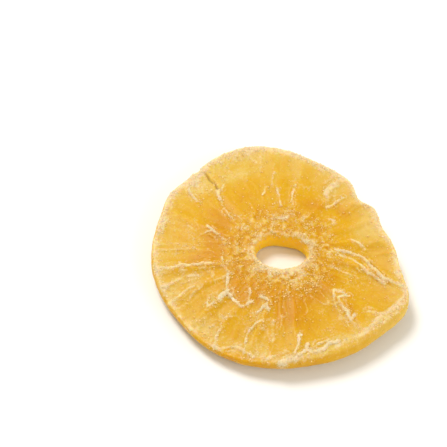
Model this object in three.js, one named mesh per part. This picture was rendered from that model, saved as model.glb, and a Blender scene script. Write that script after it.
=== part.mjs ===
// A ring of candied pineapple: one crosswise slice of the fruit with its core punched out,
// soaked in sugar and dried. It lies flat, its cut face up. The rim keeps the uneven outline
// of the fruit, and dents where two fruitlets meet. The face is divided by raised, frosted
// walls (septa) that run out from the core, with a shallow hollow in each cell between them.
// Drying has lifted the rim off the table, most on one side. The slice was cut a little
// unevenly, so one side of its rim is thin.
//
// Millimetres, +Z up. Shapes are worked out about the core's axis, with angles in degrees
// anticlockwise from +X. The finished ring is then moved so that the centre of its
// box, at the level of its underside, is the origin.

import * as THREE from "three";

// Driving dimensions.
const FRUIT_RADIUS = 37.9; // radius of the slice where its outline is plain
const CORE_OFFSET = { x: 2.9, y: 0.2 }; // the core from the centre of the slice
const THICKNESS = 7.0; // underside to face, halfway out
const RIM_THINNING = 0.7; // how much thinner the slice is at its rim
const THIN_SIDE = { angle: -130, drop: 2.8, halfWidth: 52 }; // where the rim is thinner still
const HOLE = { x: 0.1, y: 0.9, halfWidth: 8.2, halfDepth: 6.2 }; // an ellipse, off the core's axis
const HOLE_FLAT = { angle: 70, depth: 1.8, halfWidth: 60 }; // the far side of the hole is flattened
const HOLE_EDGE = 1.6; // width of the rounding at the hole's two edges
const COLLAR_RADIUS = 15.5; // the tough flesh round the hole, without cells, ends here
const LIP = { distance: 2.6, halfWidth: 1.6, height: 0.35 }; // the raised ridge round the hole
const RIM_EDGE = { plain: 1.5, thin: 0.8 }; // width of the rounding at the rim's upper edge
const RIM_UNDERCUT = { plain: 2.6, thin: 3.6 }; // width of the rounding at its lower edge
const WIDEST_AT = { plain: 0.42, thin: 0.7 }; // share of the thickness where the rim is widest
const SQUARENESS = 2.5; // superellipse power of the edges: 2 is a round edge, more is squarer
const FLAT_RADIUS = 22; // the underside is flat out to here
const LIFT = { least: 0.5, most: 2.4, angle: -28 }; // how far drying has raised the rim
const CELL_DEPTH = 0.4; // depth of a cell of depth 1
const WALL_HEIGHT = 0.4; // height of a wall of height 1, over the face
const WALL_WIDTH = 1.4; // half width of a wall

// The outline's departures from a circle: angle, rise, and half width in degrees.
const LOBES = [
  [-146, -1.7, 24],
  [-44, 3.6, 29],
  [-26, 4.0, 13], // the corner
  [17, -2.2, 10],
  [38, -3.5, 8], // the deep dent
  [69, -1.0, 22],
  [105, 4.2, 30],
  [130, -0.6, 2], // the dent at the crack
  [148, 1.4, 8],
];

// Stretches of the rim whose upper edge slants: angle, added width, and half width in degrees.
const BEVELS = [[-52, 1.3, 20]];

// The walls in order round the ring: angle at the collar, angle at the rim, height, and depth
// of the cell that follows. A wall of negative height is a crack.
const WALLS = [
  [-168, -171, 1.0, 0.5],
  [-159, -153, 0.4, 0.5],
  [-141, -139, 0.7, 0.6],
  [-126, -126, 0.3, 0.6],
  [-103, -110, 1.0, 0.7],
  [-80, -86, 0.6, 0.9],
  [-42, -50, 1.1, 1.3],
  [-7, -20, 1.2, 1.3],
  [12, 5, 0.4, 0.5],
  [26, 22, 0.3, 0.4],
  [47, 40, -0.6, 0.3],
  [54, 56, 0.7, 0.5],
  [74, 78, 0.2, 0.3],
  [88, 95, 0.2, 0.6],
  [140, 128, -0.9, 0.6],
  [160, 156, 0.7, 0.6],
];

// Resolution of the mesh.
const SPOKES = 144; // steps round the ring
const FACE_STEPS = 13; // from the hole's rounding to the rim's
const EDGE_STEPS = 4; // in each quarter of an edge
const UNDER_STEPS = 5; // along the underside

const radians = THREE.MathUtils.degToRad;
const lerp = THREE.MathUtils.lerp;
const smoothstep = THREE.MathUtils.smoothstep;

// The angle from b to a the short way round, in degrees.
function turn(a, b) {
  return THREE.MathUtils.euclideanModulo(a - b + 180, 360) - 180;
}

function bell(distance, halfWidth) {
  return Math.exp(-((distance / halfWidth) ** 2));
}

// The sum of bumps round the ring, each an angle, a size and a half width, at an angle.
function bumps(list, angle) {
  return list.reduce(
    (sum, [at, size, halfWidth]) => sum + size * bell(turn(angle, at), halfWidth),
    0,
  );
}

// Radius of the rim at its widest, from the core's axis.
function rimRadius(angle) {
  const c = Math.cos(radians(angle));
  const s = Math.sin(radians(angle));
  const along = CORE_OFFSET.x * c + CORE_OFFSET.y * s;
  const across = CORE_OFFSET.x * s - CORE_OFFSET.y * c;
  return Math.sqrt(FRUIT_RADIUS ** 2 - across ** 2) - along + bumps(LOBES, angle);
}

// Radius of the hole at its narrowest, from the core's axis: where a ray from there leaves
// the ellipse, less the flattening.
function holeRadius(angle) {
  const ray = [Math.cos(radians(angle)) / HOLE.halfWidth, Math.sin(radians(angle)) / HOLE.halfDepth];
  const centre = [HOLE.x / HOLE.halfWidth, HOLE.y / HOLE.halfDepth];
  const a = ray[0] ** 2 + ray[1] ** 2;
  const b = ray[0] * centre[0] + ray[1] * centre[1];
  const c = centre[0] ** 2 + centre[1] ** 2 - 1;
  const flattening = HOLE_FLAT.depth * bell(turn(angle, HOLE_FLAT.angle), HOLE_FLAT.halfWidth);
  return (b + Math.sqrt(b ** 2 - a * c)) / a - flattening;
}

// Height of the whole slice over the table at a point, from the warp of drying.
function lift(angle, r) {
  const most = lerp(LIFT.least, LIFT.most, 0.5 + 0.5 * Math.cos(radians(angle - LIFT.angle)));
  return most * smoothstep(r, FLAT_RADIUS, rimRadius(angle)) ** 1.5;
}

// The angle of a wall at share t of the way from the collar to the rim.
function wallAngle(wall, t) {
  return wall[0] + turn(wall[1], wall[0]) * t;
}

// Height of the cut face over its mean level: walls, cracks, and the cells between them.
function relief(angle, r) {
  const t = (r - COLLAR_RADIUS) / (rimRadius(angle) - COLLAR_RADIUS);
  const inCells = smoothstep(t, -0.05, 0.2) * (1 - smoothstep(t, 0.78, 0.98));
  let height = 0;
  WALLS.forEach((wall, i) => {
    const next = WALLS[(i + 1) % WALLS.length];
    const start = wallAngle(wall, t);
    const from = turn(angle, start);
    const gap = THREE.MathUtils.euclideanModulo(wallAngle(next, t) - start, 360);
    height += wall[2] * WALL_HEIGHT * bell(radians(from) * r, WALL_WIDTH) * inCells;
    if (from > 0 && from < gap)
      height -= wall[3] * CELL_DEPTH * Math.sin((Math.PI * from) / gap) * inCells;
  });
  return height;
}

// How far an angle is into the thin side, from 0 to 1.
function thinness(angle) {
  return bell(turn(angle, THIN_SIDE.angle), THIN_SIDE.halfWidth);
}

// A size that is given for a plain rim and for a thin one, at an angle.
function rimSize(size, angle) {
  return lerp(size.plain, size.thin, thinness(angle));
}

function faceHeight(angle, r) {
  const drop = THIN_SIDE.drop * thinness(angle) * smoothstep(r, FLAT_RADIUS, rimRadius(angle));
  const thinning = RIM_THINNING * smoothstep(r, COLLAR_RADIUS, FRUIT_RADIUS) + drop;
  const lip = LIP.height * bell(r - holeRadius(angle) - LIP.distance, LIP.halfWidth);
  return THICKNESS - thinning + lip + lift(angle, r) + relief(angle, r);
}

// A quarter of a superellipse, from the point (0, 1) to (1, 0), at share t.
function quarter(t) {
  const a = (t * Math.PI) / 2;
  return [Math.sin(a) ** (2 / SQUARENESS), Math.cos(a) ** (2 / SQUARENESS)];
}

// The closed section of the ring at an angle, as [radius, height], anticlockwise as seen with
// the radius to the right: along the underside, up the rim, back over the face, down the hole.
function section(angle) {
  const rim = rimRadius(angle);
  const hole = holeRadius(angle);
  const crest = rim - rimSize(RIM_EDGE, angle) - bumps(BEVELS, angle);
  const foot = rim - rimSize(RIM_UNDERCUT, angle);
  const lip = hole + HOLE_EDGE;
  const rimFoot = lift(angle, foot);
  const rimMiddle = lerp(lift(angle, rim), faceHeight(angle, rim), rimSize(WIDEST_AT, angle));
  const rimTop = faceHeight(angle, crest);
  const holeMiddle = THICKNESS / 2;
  const holeTop = faceHeight(angle, lip);
  const points = [];
  for (let i = 0; i < UNDER_STEPS; i++) {
    const r = lerp(lip, foot, i / UNDER_STEPS);
    points.push([r, lift(angle, r)]);
  }
  for (let i = 0; i < EDGE_STEPS; i++) {
    const [out, down] = quarter(i / EDGE_STEPS);
    points.push([lerp(foot, rim, out), lerp(rimMiddle, rimFoot, down)]);
  }
  for (let i = 0; i < EDGE_STEPS; i++) {
    const [up, out] = quarter(i / EDGE_STEPS);
    points.push([lerp(crest, rim, out), lerp(rimMiddle, rimTop, up)]);
  }
  for (let i = 0; i < FACE_STEPS; i++) {
    const r = lerp(crest, lip, i / FACE_STEPS);
    points.push([r, faceHeight(angle, r)]);
  }
  for (let i = 0; i < EDGE_STEPS; i++) {
    const [inward, up] = quarter(i / EDGE_STEPS);
    points.push([lerp(lip, hole, inward), lerp(holeMiddle, holeTop, up)]);
  }
  for (let i = 0; i < EDGE_STEPS; i++) {
    const [down, inward] = quarter(i / EDGE_STEPS);
    points.push([lerp(lip, hole, inward), lerp(holeMiddle, 0, down)]);
  }
  return points;
}

// Joins the sections into one closed surface with its faces outwards.
function ringGeometry() {
  const positions = [];
  const triangles = [];
  const sections = Array.from({ length: SPOKES }, (_, i) => section((360 * i) / SPOKES));
  const count = sections[0].length;
  sections.forEach((points, i) => {
    const a = radians((360 * i) / SPOKES);
    points.forEach(([r, z]) => positions.push(r * Math.cos(a), r * Math.sin(a), z));
    const next = (i + 1) % SPOKES;
    for (let j = 0; j < count; j++) {
      const k = (j + 1) % count;
      const [here, up] = [i * count + j, i * count + k];
      const [beside, over] = [next * count + j, next * count + k];
      triangles.push(here, beside, over, here, over, up);
    }
  });
  const geometry = new THREE.BufferGeometry();
  geometry.setAttribute("position", new THREE.Float32BufferAttribute(positions, 3));
  geometry.setIndex(triangles);
  geometry.computeVertexNormals();
  return geometry;
}

const flesh = new THREE.MeshStandardMaterial({ color: 0xe8b040, roughness: 0.5, metalness: 0 });
const ring = new THREE.Mesh(ringGeometry(), flesh);
ring.name = "ring";
ring.geometry.computeBoundingBox();
const middle = ring.geometry.boundingBox.getCenter(new THREE.Vector3());
ring.position.set(-middle.x, -middle.y, 0);

const part = new THREE.Group();
part.add(ring);
export default part;
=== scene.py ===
"""Looks of a candied pineapple ring, lying on a pale floor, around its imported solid.

The ring's fine mesh has the same outline, hole, walls and hollows as the solid, with fibres,
folds, frosting and crusts of sugar on top. Loose crystals and lumps of crust are meshes too.
Sizes are in millimetres and angles in degrees, anticlockwise from +X about the core's axis,
until the meshes are made, in metres, in the solid's frame.
"""

import math

import bmesh
import bpy
import numpy as np
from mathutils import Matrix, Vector


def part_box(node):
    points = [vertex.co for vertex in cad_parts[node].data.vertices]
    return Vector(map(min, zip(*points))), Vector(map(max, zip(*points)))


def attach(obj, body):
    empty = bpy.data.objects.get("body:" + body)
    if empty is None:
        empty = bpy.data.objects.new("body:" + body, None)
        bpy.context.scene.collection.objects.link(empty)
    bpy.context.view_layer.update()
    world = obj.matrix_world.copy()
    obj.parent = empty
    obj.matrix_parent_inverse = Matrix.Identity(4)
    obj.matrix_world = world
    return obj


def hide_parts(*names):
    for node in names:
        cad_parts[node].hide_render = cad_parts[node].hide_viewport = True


MM = 0.001

# ----- Sizes, as the solid has them -----

FRUIT_RADIUS = 37.9  # radius of the slice where its outline is plain
CORE_X = 2.9  # the core from the centre of the slice
CORE_Y = 0.2
THICKNESS = 7.0  # underside to face, halfway out
RIM_THINNING = 0.7  # how much thinner the slice is at its rim
THIN_SIDE_ANGLE = -130  # where the rim is thinner still
THIN_SIDE_DROP = 2.8
THIN_SIDE_HALF_WIDTH = 52
HOLE_X = 0.1  # the hole is an ellipse, off the core's axis
HOLE_Y = 0.9
HOLE_HALF_WIDTH = 8.2
HOLE_HALF_DEPTH = 6.2
HOLE_FLAT = (70, 1.8, 60)  # its flattened side: angle, depth and half width
HOLE_EDGE = 1.6  # width of the rounding at the hole's two edges
COLLAR_RADIUS = 15.5  # the tough flesh round the hole, without cells, ends here
LIP_DISTANCE = 2.6  # the raised ridge round the hole, from its edge
LIP_HALF_WIDTH = 1.6
LIP_HEIGHT = 0.35
RIM_EDGE = 1.5  # width of the rounding at the rim's upper edge
THIN_RIM_EDGE = 0.8
RIM_UNDERCUT = 2.6  # width of the rounding at its lower edge
THIN_RIM_UNDERCUT = 3.6
WIDEST_AT = 0.42  # share of the thickness where the rim is widest
THIN_WIDEST_AT = 0.7
SQUARENESS = 2.5  # superellipse power of the edges: 2 is a round edge, more is squarer
FLAT_RADIUS = 22  # the underside is flat out to here
LEAST_LIFT = 0.5  # how far drying has raised the rim
MOST_LIFT = 2.4
LIFT_ANGLE = -28  # where it is raised most
LIFT_POWER = 1.5  # how late the rise comes
CELLS_START = (-0.05, 0.2)  # walls and cells appear over this share from collar to rim
CELLS_END = (0.78, 0.98)  # and disappear over this one
CELL_DEPTH = 0.4  # depth of a cell of depth 1
WALL_HEIGHT = 0.4  # height of a wall of height 1, over the face
WALL_WIDTH = 1.4  # half width of a wall

# The outline's departures from a circle: angle, rise, and half width in degrees.
LOBES = [
    (-146, -1.7, 24),
    (-44, 3.6, 29),
    (-26, 4.0, 13),
    (17, -2.2, 10),
    (38, -3.5, 8),
    (69, -1.0, 22),
    (105, 4.2, 30),
    (130, -0.6, 2),
    (148, 1.4, 8),
]

# Stretches of the rim whose upper edge slants: angle, added width, and half width in degrees.
BEVELS = [
    (-52, 1.3, 20),
]

# The walls in order round the ring: angle at the collar, angle at the rim, height, and depth
# of the cell that follows. A wall of negative height is a crack.
WALLS = [
    (-168, -171, 1.0, 0.5),
    (-159, -153, 0.4, 0.5),
    (-141, -139, 0.7, 0.6),
    (-126, -126, 0.3, 0.6),
    (-103, -110, 1.0, 0.7),
    (-80, -86, 0.6, 0.9),
    (-42, -50, 1.1, 1.3),
    (-7, -20, 1.2, 1.3),
    (12, 5, 0.4, 0.5),
    (26, 22, 0.3, 0.4),
    (47, 40, -0.6, 0.3),
    (54, 56, 0.7, 0.5),
    (74, 78, 0.2, 0.3),
    (88, 95, 0.2, 0.6),
    (140, 128, -0.9, 0.6),
    (160, 156, 0.7, 0.6),
]

# ----- Fine features of the cut face -----

# Each feature is a line on the face: its height and half width, how frosted it is and how
# thick its crust of sugar is, from 0 to 1, and its points as (angle, radius).
FEATURES = [
    # the crack at the upper left and the pale ridge that carries it on to the core
    (-0.55, 0.32, 0.0, 0.0, [(128.5, 39), (129, 34.5), (130, 31.3)]),
    (0.25, 0.60, 0.6, 0.0, [(130.5, 31), (133, 27.5), (137, 23.5), (141, 19)]),
    (0.15, 0.50, 0.5, 0.1, [(125.5, 31.2), (128, 30.5), (130.5, 30)]),
    (0.25, 0.55, 0.8, 0.0, [(140.5, 38), (142, 36), (143.5, 33.2)]),
    # the stepped ridge at the left, and the paler streaks below it
    (0.30, 0.70, 0.8, 0.0, [(-172.5, 38.5), (-172, 34), (-171, 30.5)]),
    (0.45, 0.55, 0.9, 0.3, [(-171.5, 31.5), (-170.5, 28.5), (-170, 24.8)]),
    (0.25, 0.60, 0.6, 0.1, [(-170, 24.8), (-168.5, 22), (-165, 19.3)]),
    (0.20, 0.70, 0.6, 0.0, [(-163, 37.5), (-164, 32), (-163, 27)]),
    (0.20, 0.60, 0.5, 0.0, [(-154.5, 38.2), (-156, 32), (-157.5, 27.5)]),
    # the branching crust at the lower left of the core
    (0.15, 0.50, 0.5, 0.5, [(-175, 18.8), (-168, 18.8), (-163, 18.6), (-157, 18)]),
    (0.20, 0.45, 0.6, 0.9, [(-155, 18.6), (-150, 19.5), (-145, 21), (-141, 22.4)]),
    (0.30, 0.80, 0.8, 1.0, [(-141, 22.2), (-140.6, 23.6), (-140.3, 25)]),
    (0.20, 0.45, 0.6, 0.9, [(-140.3, 25), (-140.4, 27.2), (-141.1, 29.2)]),
    (0.15, 0.40, 0.5, 0.8, [(-144.9, 27.6), (-143, 28.4), (-141.2, 29)]),
    (0.20, 0.45, 0.7, 1.0, [(-140, 22.6), (-134, 22.6), (-128, 22.9), (-124, 22.6), (-119, 19.6)]),
    (0.15, 0.45, 0.6, 0.6, [(-127, 16.6), (-124, 18), (-121, 20.4)]),
    # the forked ridge that runs down to the rim
    (0.25, 0.50, 0.7, 0.2, [(-109.5, 36), (-111, 31), (-111, 28.5), (-108, 25.6), (-104.5, 25)]),
    (0.20, 0.60, 0.6, 0.7, [(-111.5, 22.6), (-108, 21), (-106.5, 19.4), (-103.5, 21.2)]),
    (0.20, 0.50, 0.5, 0.8, [(-114, 17), (-110, 17.2), (-105.5, 18.2)]),
    (-0.15, 0.35, 0.0, 0.0, [(-107.5, 27), (-109.3, 29), (-109.3, 33)]),
    (0.15, 0.60, 0.4, 0.0, [(-97.5, 24), (-97, 30), (-97.5, 36)]),
    # loops by the rim at the lower left
    (0.20, 0.45, 0.6, 0.1,
     [(-131.5, 33.5), (-131, 31.3), (-127.5, 31.2), (-126, 35), (-123, 37.5)]),
    (0.25, 0.80, 0.6, 0.4, [(-124.5, 37.6), (-121.5, 38.2)]),
    (0.20, 0.60, 0.6, 0.0, [(-120, 37), (-115, 34.8), (-110, 35.4), (-105, 36.6)]),
    (0.20, 0.60, 0.6, 0.3, [(-99, 37), (-94, 35), (-90, 34.2)]),
    (0.30, 0.80, 0.6, 0.6, [(-138.5, 38.6), (-137, 37.8)]),
    # the crust at the bottom, over the edge of the slanting rim
    (0.35, 0.90, 0.8, 1.0, [(-92, 38.3), (-89, 37.8), (-86, 37.1), (-83, 35.8)]),
    (0.35, 1.40, 0.9, 1.0, [(-91.5, 37.4), (-89, 37.2), (-87.5, 37)]),
    (0.30, 0.60, 0.7, 1.0, [(-84, 35.8), (-80.5, 34.8), (-78.5, 32.6)]),
    (0.25, 0.45, 0.6, 0.9, [(-85, 35), (-83.5, 32), (-82.3, 29.2), (-80.5, 28.8)]),
    (0.30, 0.80, 0.8, 0.9, [(-79, 34.6), (-75, 35.9), (-71, 35.4), (-67, 34.6), (-64, 35.2)]),
    (0.20, 0.60, 0.7, 0.5, [(-73, 33.5), (-69, 33.3), (-65, 33.6)]),
    (0.20, 0.90, 0.7, 0.3, [(-65, 36.5), (-60, 36.2), (-54, 36.8), (-49, 36.9)]),
    (0.20, 0.90, 0.6, 0.1, [(-48, 37), (-42, 36.6), (-37, 37.2), (-31, 38.6), (-26, 39.8)]),
    # the bright ridge at the lower right, with its branches
    (0.40, 0.60, 0.8, 0.6, [(-51, 34.8), (-50.5, 32), (-49.3, 29), (-47.5, 25.8), (-45, 23.4)]),
    (0.35, 0.60, 0.8, 0.5, [(-49.5, 31.5), (-47.3, 31)]),
    (0.30, 0.55, 0.8, 0.5, [(-45, 23.4), (-42, 23.8), (-38, 25.6)]),
    (0.25, 0.60, 0.7, 0.2, [(-48, 22.5), (-44, 21.2), (-41, 20.6), (-38.5, 24.4)]),
    (-0.15, 0.60, 0.0, 0.0, [(-46.5, 30), (-45, 27.5), (-43.5, 25)]),
    (0.25, 0.60, 0.7, 0.1, [(-39.5, 33), (-38.5, 35.4), (-36, 37)]),
    # the curved folds at the right
    (0.50, 0.55, 0.9, 0.3, [(-20, 40), (-18.5, 35), (-17.4, 31.6), (-14, 28.8), (-9, 26.8)]),
    (0.35, 0.55, 0.8, 0.1, [(-9, 26.8), (-4, 25), (-1.5, 22), (1, 18.5), (3, 16.5)]),
    (-0.35, 0.28, 0.0, 0.0, [(-16.4, 32.5), (-13.4, 29.8), (-9, 27.8)]),
    (0.30, 0.60, 0.8, 0.2, [(-20, 33), (-18.6, 30), (-15.5, 26.6), (-12, 24.6)]),
    (0.20, 0.60, 0.6, 0.0, [(-12, 24.6), (-7, 21.5), (-5, 18)]),
    (0.25, 0.60, 0.6, 0.0, [(2.5, 26), (5, 25.5), (9, 23.6), (13, 21.8)]),
    (0.20, 0.50, 0.5, 0.1, [(-22, 24.5), (-20.5, 20), (-20, 17.5)]),
    (0.25, 0.70, 0.8, 0.4, [(-13.5, 36.2), (-11.5, 35.6)]),
    # pale ridges at the upper right
    (0.30, 1.10, 0.7, 0.0, [(53, 33.5), (55, 29.5), (56, 26.8), (54, 24.6)]),
    (0.20, 0.50, 0.6, 0.1, [(45.5, 27.8), (47, 25), (50, 22.3)]),
    (0.15, 0.70, 0.5, 0.2, [(31.5, 19.6), (36, 20.2), (40, 19.4)]),
    # faint ridges at the top, and the frosted place over the hole
    (0.15, 0.60, 0.4, 0.0, [(93, 30.5), (95, 27.5), (95.5, 24.5)]),
    (0.20, 0.45, 0.5, 0.2, [(99.5, 25), (101.5, 23.4), (103.5, 22.4)]),
    (0.20, 0.45, 0.6, 0.2, [(79.5, 25.6), (79.5, 21.5), (77.5, 18)]),
    (0.20, 0.45, 0.5, 0.1, [(91.5, 24), (92, 20.5), (90, 17.6)]),
    (0.15, 0.90, 0.7, 0.5, [(103, 12.8), (96, 12.9), (88, 12.8), (82, 13.1)]),
    # the ridge at the left of the core, and one large crystal
    (0.30, 0.55, 0.8, 0.1, [(157.2, 25.2), (159, 23.4), (162, 21), (164.5, 18)]),
    (0.20, 0.40, 0.5, 0.0, [(165.5, 25.6), (161.5, 24.4), (160, 23.2)]),
    (0.30, 0.55, 0.7, 1.0, [(167.5, 18.2), (169.5, 18.2)]),
    (0.20, 0.50, 0.6, 0.4, [(138, 15.4), (143, 15.6), (146, 15)]),
]

# Soft patches of the face: angle, radius, half widths round the ring and outwards, then how
# much paler and how much more frosted it is there than elsewhere, each from -1 to 1.
PATCHES = [
    # smooth, deep amber places
    (118, 24.5, 9.0, 3.0, -0.20, -0.5),
    (148, 24.0, 6.0, 5.0, -0.28, -0.1),
    (155, 21.0, 3.0, 1.6, -0.50, -0.6),
    (-6, 31.0, 5.0, 4.5, -0.10, -0.8),
    (-30, 35.0, 3.2, 2.8, -0.20, -0.7),
    (-45, 28.5, 1.8, 3.0, -0.35, -0.7),
    (-62, 17.0, 9.0, 2.6, -0.40, -0.1),
    (-132, 19.6, 5.0, 2.2, -0.50, -0.5),
    (-175, 26.0, 2.4, 7.0, -0.30, -0.3),
    (171, 21.0, 5.0, 3.2, -0.35, -0.2),
    (57, 21.0, 3.5, 2.8, -0.35, -0.3),
    (36, 25.0, 4.5, 2.8, -0.30, -0.2),
    (-118, 31.0, 2.6, 3.2, -0.35, -0.5),
    (-85, 23.0, 6.0, 5.0, -0.25, -0.2),
    (-112, 15.5, 14.0, 3.2, -0.30, -0.4),
    (-122, 38.5, 12.0, 2.0, -0.40, -0.5),
    # the pale, frosted rim at the top, partly a painted highlight
    (136, 36.5, 3.8, 3.2, 0.50, 0.8),
    (116, 32.5, 7.0, 2.0, 0.30, 0.4),
    (103, 38.5, 20.0, 3.0, 0.30, 0.5),
    # the lower rim, darker and less frosted
    (-104, 38.5, 12.0, 2.0, -0.40, -0.5),
    (-90, 35.0, 9.0, 2.5, -0.10, -0.3),
    # other pale places, most of them frosted
    (105, 28.0, 22.0, 9.0, 0.25, -0.1),
    (18, 26.0, 5.0, 5.0, 0.35, 0.1),
    (12, 27.0, 24.0, 11.0, 0.12, 0.0),
    (-163, 32.5, 4.0, 6.0, 0.05, 0.3),
    (-131, 35.0, 4.5, 4.0, 0.20, 0.5),
    (-118, 28.0, 6.0, 7.0, 0.20, 0.2),
    (-106, 21.5, 3.0, 4.0, 0.10, 0.6),
    (-104, 35.0, 5.0, 3.0, 0.20, 0.5),
    (-66, 34.0, 9.0, 2.5, 0.10, 0.2),
    (-54, 36.5, 4.0, 2.2, 0.20, 0.2),
    (-20, 21.0, 3.0, 5.0, 0.15, 0.4),
    (54, 29.0, 2.2, 4.0, 0.30, 0.5),
    (171, 29.5, 5.0, 5.0, 0.00, 0.2),
    (-172, 32.0, 12.0, 6.0, 0.15, 0.15),
]

# Fibres show most where this is high: angle, strength and half width in degrees.
FIBRES = [
    (180, 1.0, 35),
    (-110, 0.7, 50),
    (-20, 0.6, 30),
    (30, 0.5, 30),
]

# Resolution of the fine mesh: steps round the ring, then along each stretch of its section.
SPOKES = 504
UNDER_STEPS = 30
RIM_LOWER_STEPS = 10
RIM_UPPER_STEPS = 18
FACE_STEPS = 98
HOLE_UPPER_STEPS = 12
HOLE_LOWER_STEPS = 10
CURVE_STEPS = 4  # from one point of a feature's line to the next


def turn(a, b):
    """The angle from b to a the short way round."""
    return (a - b + 180) % 360 - 180


def bell(distance, half_width):
    return np.exp(-((distance / half_width) ** 2))


def lerp(a, b, t):
    return a + (b - a) * t


def smoothstep(x, low, high):
    t = np.clip((x - low) / (high - low), 0, 1)
    return t * t * (3 - 2 * t)


def cosine(angle):
    return np.cos(np.radians(angle))


def sine(angle):
    return np.sin(np.radians(angle))


def steps(count):
    """Shares from 0 to 1, short of the 1, which is where the next stretch starts."""
    return np.arange(count) / count


def bumps(rows, angle):
    """The sum of bumps round the ring, each an angle, a size and a half width."""
    return sum(size * bell(turn(angle, at), width) for at, size, width in rows)


# ----- Repeatable noise -----

# Seeds of the noises. Layered noise also takes the numbers that follow its seed.
WANDER_X_SEED = 11
WANDER_Y_SEED = 21
UNEVEN_SEED = 31
PATCHY_SEED = 35
WRINKLED_SEED = 36
TWIST_SEED = 41
STREAK_SEED = 51
VEIN_SEED = 56
VEINED_SEED = 57
SWELL_SEED = 61
GRAIN_SEED = 71
MOTTLE_SEED = 81
EDGE_SEED = 91
LUMPS_SEED = 101
CREASE_SEED = 111
BORE_SEED = 121
RAGGED_SEED = 131
CLUMP_SEED = 141

# Multipliers that scramble a lattice point and a seed into a number of 32 bits.
SCRAMBLE_X = 374761393
SCRAMBLE_Y = 668265263
SCRAMBLE_Z = 2246822519
SCRAMBLE_SEED = 3266489917
SCRAMBLE_AGAIN = 1274126177
ALL_BITS = 0xFFFFFFFF

LAYERS = 3
LAYERED_RANGE = 1.5  # what the sum of the layers is divided by, to reach about -1 to 1


def lattice_value(x, y, z, seed):
    """A repeatable number from 0 to 1 for each point of a lattice."""
    h = x * SCRAMBLE_X + y * SCRAMBLE_Y + z * SCRAMBLE_Z + seed * SCRAMBLE_SEED
    h = h & ALL_BITS
    h = ((h ^ (h >> 13)) * SCRAMBLE_AGAIN) & ALL_BITS
    return (h ^ (h >> 16)) / ALL_BITS


def noise(points, seed):
    """Smooth noise from -1 to 1 with features one unit wide, at an array of points."""
    base = np.floor(points).astype(np.int64)
    f = points - base
    f = f * f * (3 - 2 * f)
    x, y, z = (base[..., i] for i in range(3))
    total = 0
    for dx in (0, 1):
        for dy in (0, 1):
            for dz in (0, 1):
                weight = (
                    (f[..., 0] if dx else 1 - f[..., 0])
                    * (f[..., 1] if dy else 1 - f[..., 1])
                    * (f[..., 2] if dz else 1 - f[..., 2])
                )
                total = total + weight * lattice_value(x + dx, y + dy, z + dz, seed)
    return 2 * total - 1


def layered_noise(points, seed):
    """Noise with finer and weaker layers added."""
    layers = (noise(points * 2**i, seed + i) / 2**i for i in range(LAYERS))
    return sum(layers) / LAYERED_RANGE


def flat_points(angle, r, size):
    """Points for noise with features of a size over the face."""
    return np.stack([r * cosine(angle), r * sine(angle), np.zeros_like(r)], -1) / size


def flat_noise(angle, r, size, seed):
    """Noise with features of a size over the face."""
    return noise(flat_points(angle, r, size), seed)


def spoke_points(angle, r, count, length):
    """Points for noise in streaks that run outwards, about count of them round the ring."""
    around = count / (2 * math.pi)
    return np.stack([around * cosine(angle), around * sine(angle), r / length], -1)


# ----- The ring's shape -----


def rim_radius(angle):
    """Radius of the rim at its widest, from the core's axis."""
    along = CORE_X * cosine(angle) + CORE_Y * sine(angle)
    across = CORE_X * sine(angle) - CORE_Y * cosine(angle)
    return np.sqrt(FRUIT_RADIUS**2 - across**2) - along + bumps(LOBES, angle)


def hole_radius(angle):
    """Radius of the hole at its narrowest: where a ray from the core's axis leaves it."""
    ray_x = cosine(angle) / HOLE_HALF_WIDTH
    ray_y = sine(angle) / HOLE_HALF_DEPTH
    centre_x = HOLE_X / HOLE_HALF_WIDTH
    centre_y = HOLE_Y / HOLE_HALF_DEPTH
    a = ray_x**2 + ray_y**2
    b = ray_x * centre_x + ray_y * centre_y
    c = centre_x**2 + centre_y**2 - 1
    return (b + np.sqrt(b**2 - a * c)) / a - bumps([HOLE_FLAT], angle)


def lift(angle, r):
    """Height of the whole slice over the table at a point, from the warp of drying."""
    most = lerp(LEAST_LIFT, MOST_LIFT, 0.5 + 0.5 * cosine(angle - LIFT_ANGLE))
    return most * smoothstep(r, FLAT_RADIUS, rim_radius(angle)) ** LIFT_POWER


def relief(angle, r):
    """Height of the main walls, cracks and cells over the mean level of the face."""
    t = (r - COLLAR_RADIUS) / (rim_radius(angle) - COLLAR_RADIUS)
    in_cells = smoothstep(t, *CELLS_START) * (1 - smoothstep(t, *CELLS_END))
    height = 0
    for wall, following in zip(WALLS, WALLS[1:] + WALLS[:1]):
        start = wall[0] + turn(wall[1], wall[0]) * t
        end = following[0] + turn(following[1], following[0]) * t
        past = turn(angle, start)
        gap = (end - start) % 360
        height = height + wall[2] * WALL_HEIGHT * bell(np.radians(past) * r, WALL_WIDTH)
        inside = (past > 0) & (past < gap)
        height = height - inside * wall[3] * CELL_DEPTH * np.sin(math.pi * past / gap)
    return height * in_cells


def thinness(angle):
    """How thin the rim is, from 0 to 1 on the ring's thin side."""
    return bell(turn(angle, THIN_SIDE_ANGLE), THIN_SIDE_HALF_WIDTH)


def face_height(angle, r):
    """Height of the cut face, before the fine detail."""
    outer = smoothstep(r, FLAT_RADIUS, rim_radius(angle))
    thinning = RIM_THINNING * smoothstep(r, COLLAR_RADIUS, FRUIT_RADIUS)
    thinning = thinning + THIN_SIDE_DROP * thinness(angle) * outer
    lip = LIP_HEIGHT * bell(r - hole_radius(angle) - LIP_DISTANCE, LIP_HALF_WIDTH)
    return THICKNESS - thinning + lip + lift(angle, r) + relief(angle, r)


def quarter(t):
    """A quarter of a superellipse, from (0, 1) to (1, 0), at share t."""
    a = t * math.pi / 2
    return np.sin(a) ** (2 / SQUARENESS), np.cos(a) ** (2 / SQUARENESS)


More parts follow.
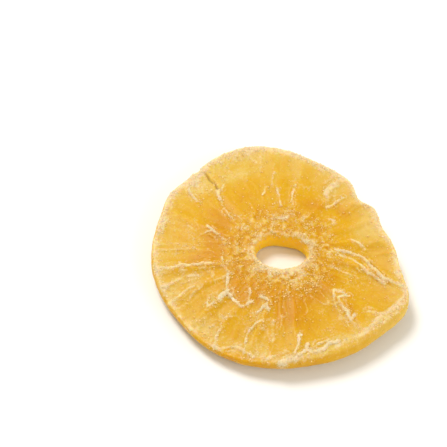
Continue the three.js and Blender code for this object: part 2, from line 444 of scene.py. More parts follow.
def section_points(angle):
    """The ring's closed section as arrays of radius and height, and where each point is.

    The first axis goes round the ring and the second along the section: the underside, up
    the side, back over the top and down the bore of the hole. Last come four arrays with the
    share that each point has in those four.
    """
    rim = rim_radius(angle)
    hole = hole_radius(angle)
    thin = thinness(angle)
    crest = rim - lerp(RIM_EDGE, THIN_RIM_EDGE, thin) - bumps(BEVELS, angle)
    foot = rim - lerp(RIM_UNDERCUT, THIN_RIM_UNDERCUT, thin)
    lip = hole + HOLE_EDGE
    rim_foot = lift(angle, foot)
    rim_middle = lerp(
        lift(angle, rim), face_height(angle, rim), lerp(WIDEST_AT, THIN_WIDEST_AT, thin)
    )
    rim_top = face_height(angle, crest)
    hole_middle = np.full_like(hole, THICKNESS / 2)
    hole_top = face_height(angle, lip)
    radii = []
    heights = []
    shares = []

    def add(radius, height, under=0, side=0, top=0, bore=0):
        radii.append(radius)
        heights.append(height)
        shares.append((under, side, top, bore))

    for t in steps(UNDER_STEPS):
        radius = lerp(lip, foot, t)
        add(radius, lift(angle, radius), under=1)
    for t in steps(RIM_LOWER_STEPS):
        out, down = quarter(t)
        add(lerp(foot, rim, out), lerp(rim_middle, rim_foot, down), under=1 - t, side=t)
    for t in steps(RIM_UPPER_STEPS):
        up, out = quarter(t)
        add(lerp(crest, rim, out), lerp(rim_middle, rim_top, up), side=1 - t, top=t)
    for t in steps(FACE_STEPS):
        radius = lerp(crest, lip, t)
        add(radius, face_height(angle, radius), top=1)
    for t in steps(HOLE_UPPER_STEPS):
        inward, up = quarter(t)
        add(lerp(lip, hole, inward), lerp(hole_middle, hole_top, up), top=1 - t, bore=t)
    for t in steps(HOLE_LOWER_STEPS):
        down, inward = quarter(t)
        add(lerp(lip, hole, inward), lerp(hole_middle, 0, down), bore=1 - t, under=t)
    shares = np.array(shares).T[:, None, :]
    return (
        np.stack(radii, 1),
        np.stack(heights, 1),
        np.broadcast_to(shares, (len(shares), len(angle), len(radii))),
    )


def smoothed(corners):
    """Points along a smooth curve (a Catmull-Rom spline) through some corners."""
    before = 2 * corners[0] - corners[1]
    after = 2 * corners[-1] - corners[-2]
    padded = np.vstack([before, corners, after])
    curve = []
    for p0, p1, p2, p3 in zip(padded, padded[1:], padded[2:], padded[3:]):
        slope = p2 - p0
        bend = 2 * p0 - 5 * p1 + 4 * p2 - p3
        twist = 3 * p1 - p0 - 3 * p2 + p3
        for t in steps(CURVE_STEPS):
            curve.append(0.5 * (2 * p1 + slope * t + bend * t**2 + twist * t**3))
    curve.append(corners[-1])
    return curve


def line_distance(x, y, line):
    """Distance of each point from a smoothed line, which is given as (angle, radius)."""
    fine = smoothed(np.array([(r * cosine(a), r * sine(a)) for a, r in line]))
    best = np.full(x.shape, np.inf)
    for (ax, ay), (bx, by) in zip(fine, fine[1:]):
        length2 = (bx - ax) ** 2 + (by - ay) ** 2
        t = np.clip(((x - ax) * (bx - ax) + (y - ay) * (by - ay)) / length2, 0, 1)
        best = np.minimum(best, np.hypot(x - ax - t * (bx - ax), y - ay - t * (by - ay)))
    return best


# ----- Fine detail and looks of the surface -----

# Endings of names: HEIGHT is how far up a noise moves the flesh; SIZE and LENGTH are of a
# noise's features, and COUNT is how many go round the ring; RANGE is where a smooth rise
# starts and ends; PALE, FROST and CRUST are how much of it there is, or is added.

# How far the features' lines wander off their points.
BROAD_WANDER = 0.4
BROAD_WANDER_SIZE = 5.0
FINE_WANDER = 0.25
FINE_WANDER_SIZE = 1.6

# A feature's parts, as shares of its half width, its rise and its frost.
RIDGE_WIDTH = 0.9
RIDGE_RISE = 1.2
RIDGE_FROST = 1.5
WRINKLE_AT = 2.4
WRINKLE_WIDTH = 0.6
WRINKLE_RISE = 0.6
WRINKLE_FROST = 0.7
HALO_WIDTH = 3
HALO_FROST = 0.4
CRUST_WIDTH = 1.15
SHALLOW_CRACK = 0.1  # a feature this deep or less gets no painted shade
DEEP_CRACK = 0.5  # how much deeper one is when its painted shade is as dark as it gets

# Noises that break features up: the ridge, the crust and the wrinkles. The first two are a
# mean and a swing, kept within limits.
UNEVEN_SIZE = 2.0
UNEVEN_MEAN = 0.9
UNEVEN_SWING = 0.6
UNEVEN_LIMITS = (0.3, 1.3)
PATCHY_SIZE = 1.7
PATCHY_MEAN = 0.9
PATCHY_SWING = 0.9
PATCHY_LIMITS = (0.3, 1.15)
WRINKLED_SIZE = 3.0
WRINKLED_RANGE = (-0.2, 0.5)

# Fibres: streaks that run outwards, and veins, which are fewer and sharper.
TWIST = 1.5  # how far streaks stray round the ring, in degrees; veins stray twice as far
TWIST_SIZE = 6
STREAK_COUNT = 170
STREAK_LENGTH = 9
STREAK_HEIGHT = 0.13
STREAK_PALE = 0.12
STREAK_FROST = 0.25
STREAK_FROST_RANGE = (0.0, 0.6)
LEAST_FIBROUS = 0.25
VEIN_COUNT = 75
VEIN_LENGTH = 5
VEIN_WIDTH = 0.15
VEIN_HEIGHT = 0.15
VEIN_FROST = 0.4
VEINED_SIZE = 4.5
VEINED_RANGE = (-0.1, 0.5)
FIBRES_RANGE = (-0.1, 0.15)  # they appear over this share of the way from collar to rim

# Swells, grain and mottling of the face.
SWELL_SIZE = 3.5
SWELL_HEIGHT = 0.09
GRAIN_COARSE = 0.7
GRAIN_COARSE_SIZE = 1.3
GRAIN_FINE = 0.5
GRAIN_FINE_SIZE = 0.8
GRAIN_HEIGHT = 0.16
LEAST_GRAINY = 0.25
MOTTLE_SIZE = 3.0
MOTTLE_PALE = 0.12
MOTTLE_FROST = 0.20

# How pale the face is by the core, how much paler it gets further out, and how much paler
# still close to the rim, which is a matter of the power. Then its plain frost.
CORE_PALE = 0.25
OUTER_PALE = 0.30
RIM_PALE = 0.45
RIM_POWER = 5
PLAIN_FROST = 0.05
PATCH_FROST = 0.6  # frost of a patch that is 1 more frosted
COLLAR_INNER = 1  # the collar fades from this far inside its radius
COLLAR_OUTER = 3.5  # to this far outside it
COLLAR_FROST = 0.50
COLLAR_FROST_RANGE = (-0.3, 0.7)
COLLAR_CLEAR = 0.05  # taken off the frost all over the collar
COLLAR_PALE = 0.35

# Frost round the hole, as distance from its edge, half width, and how much there is on the
# far side and how much more on the near side.
LIP_FROST = [
    (1.2, 2.2, 0.20, 0.60),
    (0.9, 0.7, 0.15, 0.40),
]

# Frost along the rim's upper edge: the least there is, and how much more round two angles,
# the second less widely; that more is partly frost and partly a painted highlight. The band
# is measured outwards from the crest of the edge.
FROST_AND_HIGHLIGHT_ANGLE = 110
SECOND_FROST_AND_HIGHLIGHT_ANGLE = -10
SECOND_FROST_AND_HIGHLIGHT_HALF_WIDTH = 35
EDGE_LEAST_FROST = 0.10
EDGE_MORE_FROST_AND_HIGHLIGHT = 0.70
EDGE_STARTS = (-2.6, 0.4)
EDGE_ENDS = (0.7, 1.8)
EDGE_PATCH_SIZE = 2.2
EDGE_PATCH_RANGE = (-0.5, 0.4)
CREST_LEAST_FROST = 0.05
CREST_MORE_FROST_AND_HIGHLIGHT = 0.50
CREST_AT = 0.6
CREST_WIDTH = 0.8

# The side of the rim, the bore of the hole and the underside.
SIDE_LUMP_SIZE = 4.0
SIDE_LUMP_HEIGHT = 0.20
CREASE_COUNT = 110
CREASE_LENGTH = 14
CREASE_HEIGHT = 0.16
SIDE_PALE = 0.28
SIDE_MOTTLE = 0.2
# Painted light: the side of the rim is made paler round this angle, towards the right.
SIDE_PAINTED_LIGHT_ANGLE = -30
SIDE_PAINTED_LIGHT_HALF_WIDTH = 25
SIDE_PAINTED_LIGHT = 0.6
SIDE_CRUST = 0.5
BORE_LUMP_SIZE = 1.5
BORE_LUMP_HEIGHT = 0.12
# The bore is paler and is mixed towards a brighter gold: painted light against the shade it lies
# in.
BORE_PALE = 0.4
FULL_BORE_PAINTED_LIGHT = 0.7  # the bore's painted light is full from this share on
UNDER_RELIEF = 0.5  # share of the face's hollows that the underside has
UNDER_RAISE = 0.05  # it is raised this much, to keep clear of the floor
UNDER_FROST = 0.6

# The fine mesh is pressed down above this height, so that it keeps to the solid's box.
HIGHEST_PLAIN = 8.2
PRESSED = 0.7


def wander(angle, r, seed):
    """How far a feature's line strays along one axis."""
    broad = BROAD_WANDER * flat_noise(angle, r, BROAD_WANDER_SIZE, seed)
    return broad + FINE_WANDER * flat_noise(angle, r, FINE_WANDER_SIZE, seed + 1)


def unevenness(angle, r):
    """How strong a ridge is at each point, about 1."""
    swing = UNEVEN_SWING * flat_noise(angle, r, UNEVEN_SIZE, UNEVEN_SEED)
    return np.clip(UNEVEN_MEAN + swing, *UNEVEN_LIMITS)


def feature_looks(angle, r):
    """Height, frost, crust and the painted shade of cracks that the features' lines bring."""
    x = r * cosine(angle) + wander(angle, r, WANDER_X_SEED)
    y = r * sine(angle) + wander(angle, r, WANDER_Y_SEED)
    uneven = unevenness(angle, r)
    swing = PATCHY_SWING * flat_noise(angle, r, PATCHY_SIZE, PATCHY_SEED)
    patchy = np.clip(PATCHY_MEAN + swing, *PATCHY_LIMITS)
    wrinkled = flat_noise(angle, r, WRINKLED_SIZE, WRINKLED_SEED)
    wrinkled = smoothstep(wrinkled, *WRINKLED_RANGE)
    height = np.zeros_like(r)
    frost = np.zeros_like(r)
    crust = np.zeros_like(r)
    crack = np.zeros_like(r)
    for rise, half_width, frosted, crusted, line in FEATURES:
        near = line_distance(x, y, line)
        ridge = bell(near, RIDGE_WIDTH * half_width)
        wrinkle = bell(near - WRINKLE_AT * half_width, WRINKLE_WIDTH * half_width) * wrinkled
        on_line = RIDGE_FROST * ridge * uneven + WRINKLE_FROST * wrinkle
        halo = HALO_FROST * frosted * bell(near, HALO_WIDTH * half_width)
        # A sunken feature is darkened in its crack: painted shade.
        depth = np.clip(-rise - SHALLOW_CRACK, 0, DEEP_CRACK)
        height += rise * (RIDGE_RISE * ridge * uneven + WRINKLE_RISE * wrinkle)
        frost = np.maximum(frost, frosted * on_line)
        frost = np.maximum(frost, halo)
        crust = np.maximum(crust, crusted * bell(near, CRUST_WIDTH * half_width) * patchy)
        crack = np.maximum(crack, depth / DEEP_CRACK * ridge)
    return height, frost, crust, crack


def add_patches(angle, r, pale, frost):
    """Adds the soft patches to how pale and how frosted the face is."""
    for at, radius, around, outward, paler, frostier in PATCHES:
        past = np.radians(turn(angle, at)) * radius
        patch = bell(past, around) * bell(r - radius, outward)
        pale += paler * patch
        frost += PATCH_FROST * frostier * patch


def add_edge_frost(angle, r, frost):
    """Adds the frost round the hole, and along the upper edge of the rim, partly as a painted
    highlight.
    """
    near_side = 0.5 - 0.5 * sine(angle)
    for distance, half_width, least, more in LIP_FROST:
        past = r - hole_radius(angle) - distance
        frost += (least + more * near_side) * bell(past, half_width)
    second = bell(turn(angle, SECOND_FROST_AND_HIGHLIGHT_ANGLE), SECOND_FROST_AND_HIGHLIGHT_HALF_WIDTH)
    # More frost towards the far side and the right: partly frost, partly a painted highlight.
    frost_and_highlight = np.clip(0.5 + 0.5 * cosine(angle - FROST_AND_HIGHLIGHT_ANGLE) + 0.5 * second, 0, 1)
    past_crest = r - rim_radius(angle) + RIM_EDGE + bumps(BEVELS, angle)
    edge = smoothstep(past_crest, *EDGE_STARTS) * (1 - smoothstep(past_crest, *EDGE_ENDS))
    patchy = smoothstep(flat_noise(angle, r, EDGE_PATCH_SIZE, EDGE_SEED), *EDGE_PATCH_RANGE)
    edge *= lerp(patchy, 1, 1 - near_side)
    frost += (EDGE_LEAST_FROST + EDGE_MORE_FROST_AND_HIGHLIGHT * frost_and_highlight) * edge
    crest = CREST_LEAST_FROST + CREST_MORE_FROST_AND_HIGHLIGHT * frost_and_highlight
    frost += crest * bell(past_crest - CREST_AT, CREST_WIDTH) * unevenness(angle, r)


def face_looks(angle, r):
    """Height of the fine detail of a cut face, and how its flesh looks there.

    The looks are how pale the flesh is, from deep amber to cream, how much frost and how
    thick a crust of sugar lies on it, and how much shade is painted into the cracks.
    """
    outwards = (r - COLLAR_RADIUS) / (rim_radius(angle) - COLLAR_RADIUS)
    in_cells = smoothstep(outwards, *FIBRES_RANGE)
    collar = 1 - smoothstep(r, COLLAR_RADIUS - COLLAR_INNER, COLLAR_RADIUS + COLLAR_OUTER)
    twist = TWIST * flat_noise(angle, r, TWIST_SIZE, TWIST_SEED)
    streak_points = spoke_points(angle + twist, r, STREAK_COUNT, STREAK_LENGTH)
    streaks = layered_noise(streak_points, STREAK_SEED)
    fibrous = np.clip(bumps(FIBRES, angle), 0, 1) * in_cells
    vein_points = spoke_points(angle + 2 * twist, r, VEIN_COUNT, VEIN_LENGTH)
    veins = bell(noise(vein_points, VEIN_SEED), VEIN_WIDTH)
    veined = flat_noise(angle, r, VEINED_SIZE, VEINED_SEED)
    veins *= smoothstep(veined, *VEINED_RANGE) * in_cells
    swells = layered_noise(flat_points(angle, r, SWELL_SIZE), SWELL_SEED)
    grain = GRAIN_COARSE * flat_noise(angle, r, GRAIN_COARSE_SIZE, GRAIN_SEED)
    grain = grain + GRAIN_FINE * flat_noise(angle, r, GRAIN_FINE_SIZE, GRAIN_SEED + 1)
    mottle = layered_noise(flat_points(angle, r, MOTTLE_SIZE), MOTTLE_SEED)

    height, lines, crust, crack = feature_looks(angle, r)
    height += STREAK_HEIGHT * streaks * (LEAST_FIBROUS + fibrous)
    height += VEIN_HEIGHT * veins
    height += SWELL_HEIGHT * swells
    height += GRAIN_HEIGHT * grain * (LEAST_GRAINY + collar)

    outer = np.clip(outwards, 0, 1)
    pale = CORE_PALE + OUTER_PALE * outer + RIM_PALE * outer**RIM_POWER
    pale += MOTTLE_PALE * mottle + STREAK_PALE * streaks * fibrous
    pale += collar * COLLAR_PALE * grain
    frosted_streaks = STREAK_FROST * fibrous * smoothstep(streaks, *STREAK_FROST_RANGE)
    frost = PLAIN_FROST + MOTTLE_FROST * mottle + frosted_streaks + VEIN_FROST * veins
    frost += collar * COLLAR_FROST * smoothstep(grain, *COLLAR_FROST_RANGE) - COLLAR_CLEAR * collar
    add_patches(angle, r, pale, frost)
    frost = np.maximum(np.clip(frost, 0, 1), lines)
    add_edge_frost(angle, r, frost)
    return height, {"pale": pale, "frost": frost, "crust": crust, "crack": crack}


def ring_arrays():
    """The fine mesh's points, in millimetres about the core's axis, its normals and looks."""
    spokes = np.arange(SPOKES) * 360 / SPOKES
    r, z, (under, side, top, bore) = section_points(spokes)
    angle = np.repeat(spokes[:, None], r.shape[1], 1)
    height, looks = face_looks(angle, r)
    points = np.stack([r * cosine(angle), r * sine(angle), z], -1)
    along = np.roll(points, -1, 1) - np.roll(points, 1, 1)
    around = np.roll(points, -1, 0) - np.roll(points, 1, 0)
    normals = np.cross(around, along)
    normals /= np.linalg.norm(normals, axis=-1, keepdims=True)
    lumps = layered_noise(points / SIDE_LUMP_SIZE, LUMPS_SEED)
    creases = layered_noise(spoke_points(angle, z, CREASE_COUNT, CREASE_LENGTH), CREASE_SEED)
    move = top * height + side * (SIDE_LUMP_HEIGHT * lumps + CREASE_HEIGHT * creases)
    move += bore * BORE_LUMP_HEIGHT * layered_noise(points / BORE_LUMP_SIZE, BORE_SEED)
    move += under * (UNDER_RELIEF * np.minimum(height, 0.0) - UNDER_RAISE)
    points = points + normals * move[..., None]
    high = np.maximum(points[..., 2] - HIGHEST_PLAIN, 0)
    points[..., 2] = np.maximum(points[..., 2] - PRESSED * high, 0)
    # Painted light: the side of the rim is paler towards the right.
    side_painted_light = SIDE_PAINTED_LIGHT * bell(turn(angle, SIDE_PAINTED_LIGHT_ANGLE), SIDE_PAINTED_LIGHT_HALF_WIDTH)
    side_pale = SIDE_PALE + SIDE_MOTTLE * lumps + SIDE_MOTTLE * creases + side_painted_light
    looks["pale"] = looks["pale"] * (top + under) + side * side_pale + bore * BORE_PALE
    looks["frost"] = looks["frost"] * (top + UNDER_FROST * under)
    looks["crust"] = looks["crust"] * (top + SIDE_CRUST * side)
    looks["crack"] = looks["crack"] * top
    # Painted light: the bore is coloured brighter against the shade it lies in.
    looks["bore_painted_light"] = smoothstep(bore, 0, FULL_BORE_PAINTED_LIGHT)
    return points, normals, looks


# ----- Sugar -----

GRAIN_COUNT = 5500
GRAIN_PLACES_SEED = 7
GRAIN_LEAST_LENGTH = 0.15
GRAIN_MORE_LENGTH = 0.25  # at random
GRAIN_SHAPE = (0.7, 1.3)  # least and most of each side, as a share of the length
GRAIN_RANDOM_WHITE = 0.4
GRAIN_FROST_WHITE = 0.5  # from the frost under it

# How thickly grains lie: everywhere, with frost, and on the collar, which fades over a width.
GRAINS_PLAIN = 0.008
GRAINS_FROST = 0.25
GRAINS_COLLAR = 0.08
GRAINS_COLLAR_FADE = 4
CLUMP_SIZE = 1.6
CLUMP_RANGE = (-0.3, 0.7)
LEAST_CLUMPED = 0.15
GRAINS_UPRIGHT = 0.08  # how many an upright face holds, against a level one

LUMP_COUNT = 2200
LUMP_PLACES_SEED = 8
LUMP_DETAIL = 2  # subdivisions of its ball
LUMP_ROUGHNESS = (0.75, 1.25)  # least and most that a point of it is moved out
LUMP_LEAST_LENGTH = 0.16
LUMP_MORE_LENGTH = 0.38  # at random, on the thickest crust
LUMP_POWER = 1.5  # how rare long lumps are
LUMP_SHAPE = (1.0, 0.7, 0.5)  # its three sides, as shares of the length
LUMP_WHITE = (0.55, 1.0)  # least and most
RAGGED_SIZE = 1.1
RAGGED_RANGE = (-0.25, 0.5)
BARE_DENSITY = 1e-6  # keeps the density above zero

TILT = 0.5  # how far scattered pieces lean off the face's normal


def scatter(points, normals, density, value, count, seed):
    """Random places on the ring's mesh, denser where density is higher.

    With them come their normals, what a value of the mesh's points is there, and the source
    of the random numbers, to draw more from.
    """
    chance = np.random.default_rng(seed)
    right = np.roll(points, -1, 0) - points
    over = np.roll(points, -1, 1) - points
    area = np.linalg.norm(np.cross(right, over), axis=-1)
    weight = (area * density).ravel()
    cell = chance.choice(weight.size, count, p=weight / weight.sum())
    i, j = np.unravel_index(cell, area.shape)
    u, v = chance.random((2, count, 1))
    spots = points[i, j] + u * right[i, j] + v * over[i, j]
    return spots, normals[i, j], value[i, j], chance


def turned(count, normals, chance):
    """Axes for scattered pieces: each a random turn about its normal, and a random tilt."""
    lean = normals + TILT * chance.normal(size=(count, 3))
    up = lean / np.linalg.norm(lean, axis=1, keepdims=True)
    side = np.cross(up, chance.normal(size=(count, 3)))
    side /= np.linalg.norm(side, axis=1, keepdims=True)
    return np.stack([side, np.cross(up, side), up], 1)


def copies(shape, shape_faces, spots, axes, sizes):
    """Vertices and faces of a shape at every spot, turned and scaled.

    The shape is either the same for all or has an array of vertices for each spot.
    """
    vertices = np.einsum("nvk,nkc->nvc", shape * sizes[:, None, :], axes) + spots[:, None, :]
    offsets = np.arange(len(spots))[:, None, None] * vertices.shape[1]
    faces = (shape_faces[None] + offsets).reshape(-1, shape_faces.shape[1])
    return vertices.reshape(-1, 3), faces


CUBE = np.array([(x, y, z) for x in (-0.5, 0.5) for y in (-0.5, 0.5) for z in (-0.5, 0.5)])
CUBE_FACES = np.array([
    (0, 1, 3, 2),
    (4, 6, 7, 5),
    (0, 4, 5, 1),
    (2, 3, 7, 6),
    (0, 2, 6, 4),
    (1, 5, 7, 3),
])


def sugar_grains(points, normals, looks):
    """Loose crystals, half sunk in the flesh: vertices, faces, and how white each vertex is."""
    frost = np.clip(looks["frost"], 0, 1)
    radius = np.hypot(points[..., 0], points[..., 1])
    collar = 1 - smoothstep(radius, COLLAR_RADIUS, COLLAR_RADIUS + GRAINS_COLLAR_FADE)
    clumps = smoothstep(layered_noise(points / CLUMP_SIZE, CLUMP_SEED), *CLUMP_RANGE)
    density = GRAINS_PLAIN + GRAINS_FROST * frost**2 + GRAINS_COLLAR * collar
    density = density * (LEAST_CLUMPED + clumps)
    facing_up = np.clip(normals[..., 2], 0, 1)
    density *= GRAINS_UPRIGHT + (1 - GRAINS_UPRIGHT) * facing_up
    spots, up, frost_there, chance = scatter(
        points, normals, density, frost, GRAIN_COUNT, GRAIN_PLACES_SEED
    )
    length = GRAIN_LEAST_LENGTH + GRAIN_MORE_LENGTH * chance.random((GRAIN_COUNT, 1)) ** 2
    sizes = length * chance.uniform(*GRAIN_SHAPE, (GRAIN_COUNT, 3))
    axes = turned(GRAIN_COUNT, up, chance)
    vertices, faces = copies(CUBE, CUBE_FACES, spots, axes, sizes)
    white = GRAIN_RANDOM_WHITE * chance.random(GRAIN_COUNT) ** 2
    white = white + GRAIN_FROST_WHITE * frost_there
    return vertices, faces, np.repeat(white, len(CUBE))


def ball_shape():
    """Vertices and triangles of a ball one unit wide."""
    ball = bmesh.new()
    bmesh.ops.create_icosphere(ball, subdivisions=LUMP_DETAIL, radius=0.5)
    shape = np.array([v.co[:] for v in ball.verts])
    faces = np.array([[v.index for v in f.verts] for f in ball.faces])
    ball.free()
    return shape, faces


def sugar_crust(points, normals, looks):
    """Ragged lumps of dried sugar along the crusts: as the grains are given."""
    crust = np.clip(looks["crust"], 0, 1)
    ragged = smoothstep(layered_noise(points / RAGGED_SIZE, RAGGED_SEED), *RAGGED_RANGE)
    density = crust**3 * ragged + BARE_DENSITY
    spots, up, thick, chance = scatter(
        points, normals, density, crust, LUMP_COUNT, LUMP_PLACES_SEED
    )
    shape, shape_faces = ball_shape()
    lumpy = shape[None] * chance.uniform(*LUMP_ROUGHNESS, (LUMP_COUNT, len(shape), 1))
    longer = LUMP_MORE_LENGTH * thick[:, None] * chance.random((LUMP_COUNT, 1)) ** LUMP_POWER
    sizes = (LUMP_LEAST_LENGTH + longer) * np.array(LUMP_SHAPE)
    axes = turned(LUMP_COUNT, up, chance)
    vertices, faces = copies(lumpy, shape_faces, spots, axes, sizes)
    white = chance.uniform(*LUMP_WHITE, LUMP_COUNT)
    return vertices, faces, np.repeat(white, len(shape))


# ----- Meshes -----


def mesh_object(name, vertices, faces, material, smooth):
    """A piece of the scene from arrays of vertices, in metres, and faces."""
    mesh = bpy.data.meshes.new(name)
    mesh.from_pydata(vertices.tolist(), [], faces.tolist())
    mesh.polygons.foreach_set("use_smooth", [smooth] * len(mesh.polygons))
    mesh.materials.append(material)
    mesh.update()
    piece = bpy.data.objects.new(name, mesh)
    bpy.context.scene.collection.objects.link(piece)
    return piece


def grid_faces(rows, columns):
    """Faces of a grid that closes on itself both ways."""
    i, j = np.meshgrid(np.arange(rows), np.arange(columns), indexing="ij")
    i2 = (i + 1) % rows
    j2 = (j + 1) % columns
    corners = [i * columns + j, i2 * columns + j, i2 * columns + j2, i * columns + j2]
    return np.stack([c.ravel() for c in corners], 1)


def add_looks(piece, looks):
    """Gives a piece's vertices the values, from 0 to 1, that its material reads."""
    for name, values in looks.items():
        attribute = piece.data.attributes.new(name, "FLOAT", "POINT")
        attribute.data.foreach_set("value", np.clip(values, 0, 1).ravel())


# ----- Materials -----


def linear(c):
    """A share of sRGB, from 0 to 1, as linear light, by the standard's own numbers."""
    return c / 12.92 if c <= 0.04045 else ((c + 0.055) / 1.055) ** 2.4


def srgb(red, green, blue):
    """A colour given as 0 to 255 in sRGB, as the shader's linear numbers."""
    return tuple(linear(c / 255) for c in (red, green, blue)) + (1.0,)


class Nodes:
    """A material's node tree, with a short way to add nodes and link them."""

    def __init__(self, name):
        self.material = bpy.data.materials.new(name)
        self.material.use_nodes = True
        self.tree = self.material.node_tree
        self.tree.nodes.clear()
        self.place = None
        self.shader = self.add("ShaderNodeBsdfPrincipled")
        output = self.add("ShaderNodeOutputMaterial")
        self.link(self.shader.outputs[0], output.inputs["Surface"])

    def add(self, kind, **settings):
        node = self.tree.nodes.new(kind)
        for key, value in settings.items():
            setattr(node, key, value)
        return node

    def link(self, source, target):
        self.tree.links.new(source, target)

    def set(self, target, value):
        """Gives an input a constant, or links it to an output."""
        if isinstance(value, bpy.types.NodeSocket):
            self.link(value, target)
        else:
            target.default_value = value

    def attribute(self, name):
        """A value that the piece's vertices carry."""
        return self.add("ShaderNodeAttribute", attribute_name=name).outputs["Fac"]

    def math(self, operation, *values):
        node = self.add("ShaderNodeMath", operation=operation)
        for socket, value in zip(node.inputs, values):
            self.set(socket, value)
        return node.outputs[0]

    def mix(self, factor, a, b):
        """Colour a where the factor is 0, and b where it is 1."""
        node = self.add("ShaderNodeMix", data_type="RGBA")
        self.set(node.inputs[0], factor)  # the node's inputs 0, 6 and 7 are those for colours
        self.set(node.inputs[6], a)
        self.set(node.inputs[7], b)
        return node.outputs[2]

    def ramp(self, value, low, high):
        """A smooth rise from 0 to 1 as the value goes from low to high."""
        node = self.add("ShaderNodeMapRange", interpolation_type="SMOOTHSTEP")
        self.set(node.inputs[0], value)
        self.set(node.inputs[1], low)
        self.set(node.inputs[2], high)
        return node.outputs[0]

    def noise(self, size, detail=3.0, roughness=0.55):
        """Noise with features of a size in millimetres."""
        node = self.add("ShaderNodeTexNoise")
        self.link(self.coordinates(), node.inputs["Vector"])
        node.inputs["Scale"].default_value = 1 / (size * MM)
        node.inputs["Detail"].default_value = detail
        node.inputs["Roughness"].default_value = roughness
        return node.outputs[0]

    def coordinates(self):
        """The place on the object, from one node that all the noises share."""
        if self.place is None:
            self.place = self.add("ShaderNodeTexCoord").outputs["Object"]
        return self.place

    def bump(self, height, strength, distance):
        """Shades the surface as if it were raised by a height times a distance."""
        node = self.add("ShaderNodeBump")
        node.inputs["Strength"].default_value = strength
        node.inputs["Distance"].default_value = distance
        self.link(height, node.inputs["Height"])
        self.link(node.outputs[0], self.shader.inputs["Normal"])

    def finish(self, inputs):
        """Fills the shader's inputs, and gives the finished material."""
        for name, value in inputs.items():
            self.set(self.shader.inputs[name], value)
        return self.material


AMBER = srgb(208, 146, 6)
GOLD = srgb(216, 166, 16)
PALE = srgb(219, 183, 78)
# Painted light: the brighter gold of the bore, which lies in shade.
PAINTED_BORE_GOLD = srgb(248, 201, 18)
FROST = srgb(233, 210, 162)
CRUST = srgb(248, 232, 190)
# Painted shade, for the cracks.
SHADED = srgb(170, 112, 16)
DULL_SUGAR = srgb(236, 190, 92)
BRIGHT_SUGAR = srgb(250, 234, 194)
FLOOR_COLOUR = (0.94, 0.935, 0.925, 1)

# How much noise breaks up the frost and the crust, and the range over which what comes out
# turns the flesh white.
FROST_BROKEN = 2.2
FROST_RANGE = (1.15, 2.25)
CRUST_BROKEN = 1.6
CRUST_RANGE = (1.3, 1.8)
CRACK_SHADE = 0.7
MOIST_ROUGHNESS = 0.4
SUGARED_ROUGHNESS = 0.3  # added where there is frost or crust
BUMPS_PLAIN = 0.25  # how bumpy unfrosted flesh is; frost adds up to 1
SUGAR_ROUGHNESS = 0.3
SUGAR_ROUGHNESS_SWING = 0.3


def flesh_material():
    """Flesh from deep amber to pale gold, with frost, crusts and painted shade in cracks by vertex
    values.

    The bore of the hole is brighter, to come out as golden in its own shade as in the photo.
    """
    nodes = Nodes("candied_flesh")
    pale = nodes.attribute("pale")
    colour = nodes.mix(nodes.ramp(pale, 0.0, 0.5), AMBER, GOLD)
    colour = nodes.mix(nodes.ramp(pale, 0.5, 1.0), colour, PALE)
    # Painted light: the bore is mixed towards a brighter gold against its own shade.
    colour = nodes.mix(nodes.attribute("bore_painted_light"), colour, PAINTED_BORE_GOLD)
    fine = nodes.noise(size=0.8, detail=4.0, roughness=0.7)
    frosted = nodes.math("MULTIPLY_ADD", fine, FROST_BROKEN, nodes.attribute("frost"))
    frosted = nodes.ramp(frosted, *FROST_RANGE)
    colour = nodes.mix(frosted, colour, FROST)
    lumpy = nodes.noise(size=0.7, detail=3.0, roughness=0.6)
    crusted = nodes.math("MULTIPLY_ADD", lumpy, CRUST_BROKEN, nodes.attribute("crust"))
    crusted = nodes.ramp(crusted, *CRUST_RANGE)
    colour = nodes.mix(crusted, colour, CRUST)
    # Painted shade: the cracks are darkened towards SHADED.
    cracked = nodes.math("MULTIPLY", nodes.attribute("crack"), CRACK_SHADE)
    colour = nodes.mix(cracked, colour, SHADED)
    sugared = nodes.math("ADD", frosted, crusted)
    rough = nodes.math("MULTIPLY_ADD", sugared, SUGARED_ROUGHNESS, MOIST_ROUGHNESS)
    bumpy = nodes.math("ADD", frosted, BUMPS_PLAIN)
    grain = nodes.math("MULTIPLY", nodes.noise(size=0.28, detail=2.0), bumpy)
    nodes.bump(grain, strength=0.5, distance=0.15 * MM)
    return nodes.finish({
        "Base Color": colour,
        "Roughness": rough,
        "Subsurface Weight": 0.8,
        "Subsurface Radius": (1.0, 0.6, 0.15),
        "Subsurface Scale": 3.0 * MM,
        "IOR": 1.45,
        "Specular IOR Level": 0.2,
    })


def sugar_material():
    """Crystals from dull gold to cream, by a vertex value."""
    nodes = Nodes("crystal_sugar")
    colour = nodes.mix(nodes.attribute("white"), DULL_SUGAR, BRIGHT_SUGAR)
    broken = nodes.noise(size=0.9, detail=2.0)
    rough = nodes.math("MULTIPLY_ADD", broken, SUGAR_ROUGHNESS_SWING, SUGAR_ROUGHNESS)
    return nodes.finish({
        "Base Color": colour,
        "Roughness": rough,
        "Subsurface Weight": 0.3,
        "Subsurface Radius": (1.0, 1.0, 1.0),
        "Subsurface Scale": 0.2 * MM,
    })


def floor_material():
    return Nodes("pale_floor").finish({"Base Color": FLOOR_COLOUR, "Roughness": 0.75})


# ----- The scene, in metres -----

# The camera looks down on the cut face at the angle at which the photo shows it. The ring is
# right of and below the middle of the frame by these shares of the frame's width. The sensor
# and the lens are in millimetres.
SENSOR = 36.0
LENS = 100.0
CAMERA_ELEVATION = 57
CAMERA_DISTANCE = 0.384
RIGHT_SHARE = 0.131
BELOW_SHARE = 0.064
NEAREST_SEEN = 0.01

FLOOR_HALF_WIDTH = 3.0
LIGHT_DISTANCE = 1.0
WORLD_COLOUR = (1, 0.945, 0.82, 1)
WORLD_STRENGTH = 0.585
OUTLINE_STEP = 0.5  # in degrees, for finding the outline's box


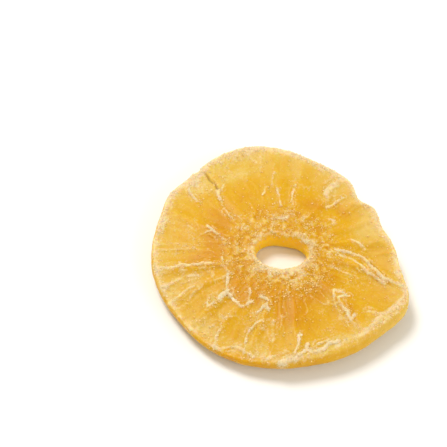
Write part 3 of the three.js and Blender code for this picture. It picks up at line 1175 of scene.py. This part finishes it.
def core_axis():
    """Where the core's axis stands in the solid's frame."""
    angle = np.arange(0, 360, OUTLINE_STEP)
    x = rim_radius(angle) * cosine(angle)
    y = rim_radius(angle) * sine(angle)
    low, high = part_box("ring")
    middle = (low + high) / 2
    off_x = MM * (x.min() + x.max()) / 2
    off_y = MM * (y.min() + y.max()) / 2
    return Vector((middle.x - off_x, middle.y - off_y, 0))


def in_frame(points):
    """Points about the core's axis, in millimetres, as metres in the solid's frame."""
    return points * MM + np.array(CORE)


def add_camera():
    e = math.radians(CAMERA_ELEVATION)
    forward = Vector((0, math.cos(e), -math.sin(e)))
    right = Vector((1, 0, 0))
    up = right.cross(forward)
    ray = LENS * forward + RIGHT_SHARE * SENSOR * right - BELOW_SHARE * SENSOR * up
    camera = bpy.data.objects.new("camera", bpy.data.cameras.new("camera"))
    camera.data.lens = LENS
    camera.data.sensor_width = SENSOR
    camera.data.clip_start = NEAREST_SEEN
    face = CORE + Vector((0, 0, THICKNESS * MM))
    camera.location = face - ray.normalized() * CAMERA_DISTANCE
    camera.rotation_euler = (math.radians(90 - CAMERA_ELEVATION), 0, 0)
    bpy.context.scene.collection.objects.link(camera)
    bpy.context.scene.camera = camera


def add_floor():
    half = FLOOR_HALF_WIDTH
    corners = np.array([(-half, -half, 0), (half, -half, 0), (half, half, 0), (-half, half, 0)])
    faces = np.array([(0, 1, 2, 3)])
    floor = mesh_object("floor", corners, faces, floor_material(), smooth=False)


def add_light(name, size, energy, azimuth, elevation):
    """A round lamp that shines on the origin, from an azimuth and an elevation in degrees."""
    light = bpy.data.lights.new(name, "AREA")
    light.shape = "DISK"
    light.size = size
    light.energy = energy
    a = math.radians(azimuth)
    e = math.radians(elevation)
    toward = Vector((math.cos(a) * math.cos(e), math.sin(a) * math.cos(e), math.sin(e)))
    lamp = bpy.data.objects.new(name, light)
    lamp.location = toward * LIGHT_DISTANCE
    lamp.rotation_euler = (-toward).to_track_quat("-Z", "Y").to_euler()
    bpy.context.scene.collection.objects.link(lamp)


def add_world():
    world = bpy.data.worlds.new("studio")
    world.use_nodes = True
    background = world.node_tree.nodes["Background"]
    background.inputs["Color"].default_value = WORLD_COLOUR
    background.inputs["Strength"].default_value = WORLD_STRENGTH
    bpy.context.scene.world = world
    bpy.context.scene.view_settings.view_transform = "Standard"


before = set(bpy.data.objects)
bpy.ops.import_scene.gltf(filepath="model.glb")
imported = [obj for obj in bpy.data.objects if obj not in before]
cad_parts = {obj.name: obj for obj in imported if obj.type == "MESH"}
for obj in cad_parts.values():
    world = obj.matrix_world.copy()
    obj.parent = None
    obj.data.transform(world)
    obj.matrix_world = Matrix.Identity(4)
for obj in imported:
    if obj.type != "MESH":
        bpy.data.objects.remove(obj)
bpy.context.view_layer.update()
CORE = core_axis()

points, normals, looks = ring_arrays()
flesh_vertices = in_frame(points.reshape(-1, 3))
flesh_faces = grid_faces(*points.shape[:2])
flesh = mesh_object("ring_flesh", flesh_vertices, flesh_faces, flesh_material(), smooth=True)
add_looks(flesh, looks)
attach(flesh, "root")
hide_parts("ring")

sugar = sugar_material()
for name, make in (("sugar_grains", sugar_grains), ("sugar_crust", sugar_crust)):
    vertices, faces, white = make(points, normals, looks)
    vertices[:, 2] = np.maximum(vertices[:, 2], 0)
    piece = mesh_object(name, in_frame(vertices), faces, sugar, smooth=False)
    add_looks(piece, {"white": white})
    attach(piece, "root")

add_camera()
add_floor()
add_world()
add_light("key", size=0.42, energy=6.9, azimuth=126, elevation=57)
add_light("fill", size=0.8, energy=3.7, azimuth=-28, elevation=24)
